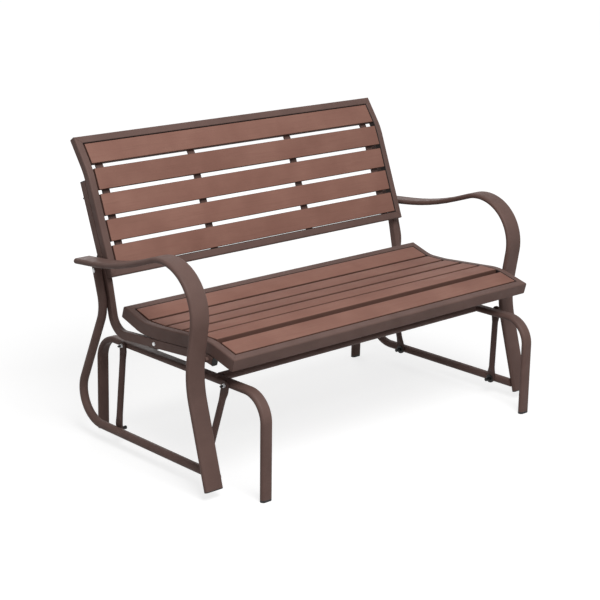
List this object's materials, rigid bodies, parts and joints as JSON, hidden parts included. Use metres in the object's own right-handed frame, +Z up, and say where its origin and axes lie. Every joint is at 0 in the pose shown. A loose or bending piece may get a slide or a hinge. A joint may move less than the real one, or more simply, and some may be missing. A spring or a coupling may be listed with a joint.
{
  "type": "glider bench",
  "caption": "Two-seat porch glider bench: slatted seat and back in steel rails on bent tube arms, hung by four links from a standing base",
  "frame": {"origin": "on the floor, under the middle of the whole bench", "axes": "+Z up, +X across the bench, the sitter faces -Y"},
  "size_m": [1.307, 0.7997, 0.8848],
  "materials": {
    "frame_bronze": "bronze brown satin powder coat",
    "link_bronze": "bronze brown satin powder coat",
    "slat_resin": "red brown wood-grain resin lumber",
    "black_plastic": "black moulded end caps",
    "bush_nylon": "dark nylon",
    "zinc": "bright zinc plating",
    "dark_steel": "dark painted pivot hardware"
  },
  "bodies": {
    "base": {"base_cross_screws": "zinc", "base_cross_stubs": "frame_bronze", "base_cross_tube_front": "frame_bronze", "base_cross_tube_rear": "frame_bronze", "base_frame_left": "frame_bronze", "base_frame_right": "frame_bronze", "foot_cap_front_left": "black_plastic", "foot_cap_front_right": "black_plastic", "foot_cap_rear_left": "black_plastic", "foot_cap_rear_right": "black_plastic", "top_pivot_nuts": "zinc", "top_pivot_studs": "dark_steel"},
    "front_left_link": {"front_left_link": "link_bronze", "front_left_link_bushes": "bush_nylon"},
    "front_right_link": {"front_right_link": "link_bronze", "front_right_link_bushes": "bush_nylon"},
    "rear_left_link": {"rear_left_link": "link_bronze", "rear_left_link_bushes": "bush_nylon"},
    "rear_right_link": {"rear_right_link": "link_bronze", "rear_right_link_bushes": "bush_nylon"},
    "bench": {"arm_tube_left": "frame_bronze", "arm_tube_right": "frame_bronze", "back_bottom_rail": "frame_bronze", "back_side_rail_left": "frame_bronze", "back_side_rail_right": "frame_bronze", "back_slat_1": "slat_resin", "back_slat_2": "slat_resin", "back_slat_3": "slat_resin", "back_slat_4": "slat_resin", "back_slat_5": "slat_resin", "back_straps": "frame_bronze", "back_top_rail": "frame_bronze", "bottom_pivot_caps": "dark_steel", "bottom_pivot_studs": "dark_steel", "frame_bolts": "zinc", "frame_nuts": "zinc", "leg_cap_left": "black_plastic", "leg_cap_right": "black_plastic", "leg_spacers": "frame_bronze", "loop_tube_left": "frame_bronze", "loop_tube_right": "frame_bronze", "seat_cross_tube_front": "frame_bronze", "seat_cross_tube_rear": "frame_bronze", "seat_front_rail": "frame_bronze", "seat_rear_rail": "frame_bronze", "seat_side_rail_left": "frame_bronze", "seat_side_rail_right": "frame_bronze", "seat_slat_1": "slat_resin", "seat_slat_2": "slat_resin", "seat_slat_3": "slat_resin", "seat_slat_4": "slat_resin", "seat_slat_5": "slat_resin", "seat_slat_6": "slat_resin", "seat_straps": "frame_bronze", "support_tube_caps": "black_plastic", "support_tube_left": "frame_bronze", "support_tube_right": "frame_bronze"}
  },
  "joints": [
    {"name": "glide", "type": "hinge", "parent": "base", "child": "front_left_link", "pos_m": [-0.5465, -0.24715, 0.2945], "axis": [1, 0, 0], "range_deg": [-15, 15]},
    {"name": "front_right_swing", "type": "hinge", "parent": "base", "child": "front_right_link", "pos_m": [0.5465, -0.24715, 0.2945], "axis": [1, 0, 0], "range_deg": [-15, 15]},
    {"name": "rear_left_swing", "type": "hinge", "parent": "base", "child": "rear_left_link", "pos_m": [-0.5465, 0.21985, 0.2945], "axis": [1, 0, 0], "range_deg": [-15.1, 15.1]},
    {"name": "rear_right_swing", "type": "hinge", "parent": "base", "child": "rear_right_link", "pos_m": [0.5465, 0.21985, 0.2945], "axis": [1, 0, 0], "range_deg": [-15.1, 15.1]},
    {"name": "bench_pitch", "type": "hinge", "parent": "front_left_link", "child": "bench", "pos_m": [-0.5807, -0.20415, 0.0525], "axis": [1, 0, 0], "range_deg": [-17.6, 17.6]}
  ],
  "couplings": [
    {"joint": "front_right_swing", "follows": "glide", "ratio": 1},
    {"joint": "rear_left_swing", "follows": "glide", "ratio": 1.0029},
    {"joint": "rear_right_swing", "follows": "glide", "ratio": 1.0029},
    {"joint": "bench_pitch", "follows": "glide", "ratio": -1.1648}
  ]
}
